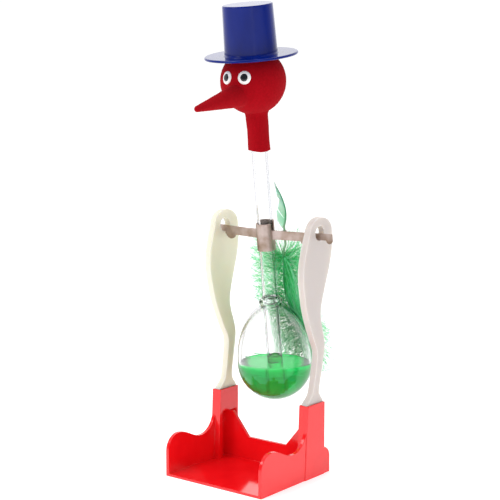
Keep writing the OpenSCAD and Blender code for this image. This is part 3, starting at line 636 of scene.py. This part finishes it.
def barbules(rng, paths, perBarb, length, width):
    # fine hairs off each barb, from a point along it, outwards and towards its end
    count, steps = paths.shape[:2]
    place = rng.uniform(0.06, 0.99, (count, perBarb)) * (steps - 1)
    low = np.floor(place).astype(int).clip(0, steps - 2)
    part = (place - low)[..., None]
    i = np.arange(count)[:, None]
    a, b = paths[i, low], paths[i, low + 1]
    root, along = a + (b - a) * part, unit(b - a)
    outwards = unit(np.cross(along, rng.normal(0, 1, along.shape)))
    reach = length * rng.uniform(0.35, 1, (count, perBarb, 1))
    aim = unit(along * rng.uniform(0.8, 1.8, reach.shape) + outwards * 0.6)
    tip = root + aim * reach
    hairs = np.stack([root, tip], 2).reshape(-1, 2, 3)
    hairs = clearOfGlass(hairs)
    facing = unit(rng.normal(0, 1, (len(hairs), 1, 3)))
    points, faces = ribbons(hairs, np.tile([[width, width * 0.4]], (len(hairs), 1)), facing)
    share = np.repeat((place / (steps - 1)).reshape(-1, 1), 4, 1).ravel() * 0.7 + 0.15
    return points, faces, share


def fluffPiece(name, rng, count, folded, perBarb, width):
    paths = barbPaths(rng, count, folded)
    facing = unit(rng.normal(0, 0.5, (count, 1, 3)) + [0, 1, 0])
    t = np.linspace(0, 1, paths.shape[1])
    stripPoints, stripFaces = ribbons(paths, np.tile(width * (1 - 0.75 * t), (count, 1)), facing)
    hairPoints, hairFaces, hairShare = barbules(rng, paths, perBarb, feather["barbuleLength"], feather["barbuleWidth"])
    points = np.concatenate([stripPoints, hairPoints])
    faces = stripFaces.tolist() + (hairFaces + len(stripPoints)).tolist()
    piece = newPiece(name, inBird(points), faces, "bird", downBarbs)
    along = piece.data.attributes.new("along", "FLOAT", "POINT")
    # each barb takes the dye a little differently, which shows as streaks
    own = rng.normal(0, feather["dyeSpread"], count)
    own = np.concatenate([np.repeat(own, len(t) * 2), np.repeat(own, perBarb * 4)])
    share = np.concatenate([np.repeat(np.tile(t, count), 2) * 0.8, hairShare]) + own
    along.data.foreach_set("value", share.astype(np.float32))
    return piece


rng = np.random.default_rng(feather["seed"])
looseDown = fluffPiece("featherDownLoose", rng, feather["looseBarbs"], False, 56, 0.12)
fluffPiece("featherDownFolded", rng, feather["foldedBarbs"], True, 30, 0.17)
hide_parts("feather_down")


def vanePaths(steps=9):
    # barbs leave the shaft up and to the inner side, closing into one sheet with two splits
    n = feather["vaneBarbs"]
    share = np.linspace(0, 1, n)
    height = 1.7 + 16.6 * share
    length = 5.6 * np.minimum(1, 0.5 + 3 * share) * (1 - share) ** 0.45 + 0.5
    group = np.floor(share * 3.0 + 0.35)
    t = np.linspace(0, 1, steps)[None]
    first = np.radians(26 + 9 * np.sin(group * 2.4) + 30 * share)[:, None]
    slant = first + np.radians(22) * t
    step = (length / (steps - 1))[:, None]
    out = np.cumsum(np.cos(slant) * step, 1) - np.cos(slant[:, :1]) * step
    up = np.cumsum(np.sin(slant) * step, 1) - np.sin(slant[:, :1]) * step
    root = shaftAt(height)
    curl = 0.35 * np.sin(t * 2 + group[:, None]) * t
    return np.stack([root[:, None, 0] - out, root[:, None, 1] + curl, root[:, None, 2] + up], -1)


paths = vanePaths()
vaneFacing = np.tile([[[0.12, 1.0, 0.0]]], (len(paths), 1, 1))
t = np.linspace(0, 1, paths.shape[1])
points, faces = ribbons(paths, np.tile(0.27 * (1 - 0.5 * t**3), (len(paths), 1)), vaneFacing)
vane = newPiece("featherVane", inBird(points), faces.tolist(), "bird", vaneBarbs)
along = vane.data.attributes.new("along", "FLOAT", "POINT")
along.data.foreach_set("value", np.repeat(np.tile(t, len(paths)), 2).astype(np.float32))
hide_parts("feather_vane")
print("feather made")

# Floor and soft studio light

floorMaterial, tree, shader, place = newMaterial(
    "paperSweepPale", Roughness=0.9, Emission_Strength=0.42, Emission_Color=(1, 1, 1, 1))
pulp = addNode(tree, "ShaderNodeTexNoise", {"Vector": place, "Scale": 1 / (60 * mm), "Detail": 3})
addNode(tree, "ShaderNodeValToRGB", {"Fac": pulp}, shader.inputs["Base Color"], [(0.3, "#f4f4f4"), (0.7, "#fafafa")])
floorHalf = 6  # metres
floorMesh = bpy.data.meshes.new("floor")
corners = [(x * floorHalf, y * floorHalf, 0) for x, y in ((-1, -1), (1, -1), (1, 1), (-1, 1))]
floorMesh.from_pydata(corners, [], [(0, 1, 2, 3)])
floorMesh.materials.append(floorMaterial)
floor = bpy.data.objects.new("floor", floorMesh)
scene.collection.objects.link(floor)

scene.view_settings.view_transform = "Standard"
world = bpy.data.worlds.new("studio")
scene.world = world
world.use_nodes = True
tree = world.node_tree
tree.nodes.clear()
studio = {"backdrop": 1.04, "throughGlass": 0.97, "bright": 1.5, "dim": 0.1, "onMatt": 0.7, "behind": (-0.6, 0.78, 0.15)}
# the room is bright behind the toy and dim in front of it, so that gloss has something to reflect;
# the backdrop itself is plain
direction = addNode(tree, "ShaderNodeTexCoord").outputs["Generated"]
toBack = addNode(tree, "ShaderNodeVectorMath", {0: direction, 1: studio["behind"]},
                 operation="DOT_PRODUCT").outputs["Value"]
room = addNode(tree, "ShaderNodeMapRange", {"Value": toBack, "From Min": -0.2, "From Max": 0.95,
                                            "To Min": studio["dim"], "To Max": studio["bright"]})
ray = addNode(tree, "ShaderNodeLightPath")
through = addNode(tree, "ShaderNodeMix", {"Factor": ray.outputs["Is Transmission Ray"], "A": room,
                                          "B": studio["throughGlass"]})
onMatt = addNode(tree, "ShaderNodeMix", {"Factor": ray.outputs["Is Diffuse Ray"], "A": through, "B": studio["onMatt"]})
level = addNode(tree, "ShaderNodeMix", {"Factor": ray.outputs["Is Camera Ray"], "A": onMatt, "B": studio["backdrop"]})
sky = addNode(tree, "ShaderNodeBackground", {"Color": (1, 1, 1, 1), "Strength": level})
addNode(tree, "ShaderNodeOutputWorld", {"Surface": sky})

softboxes = {"key": ((-0.45, -0.7, 0.85), (0.6, 0.6), 4.1),  # place, size, power
             "side": ((0.72, -0.5, 0.3), (0.12, 0.5), 0.45),
             "top": ((0.0, 0.1, 0.95), (0.8, 0.8), 2.4)}
aimPoint = np.array([0, 0.01, 0.09])
for name, (spot, size, power) in softboxes.items():
    lamp = bpy.data.lights.new(name, "AREA")
    lamp.shape = "RECTANGLE"
    lamp.size, lamp.size_y = size
    lamp.energy = power
    box = bpy.data.objects.new(name, lamp)
    scene.collection.objects.link(box)
    box.location = spot
    aim = aimPoint - spot
    box.rotation_euler = (math.pi / 2 + math.asin(aim[2] / np.linalg.norm(aim)), 0, math.atan2(-aim[0], aim[1]))
print("stage made")
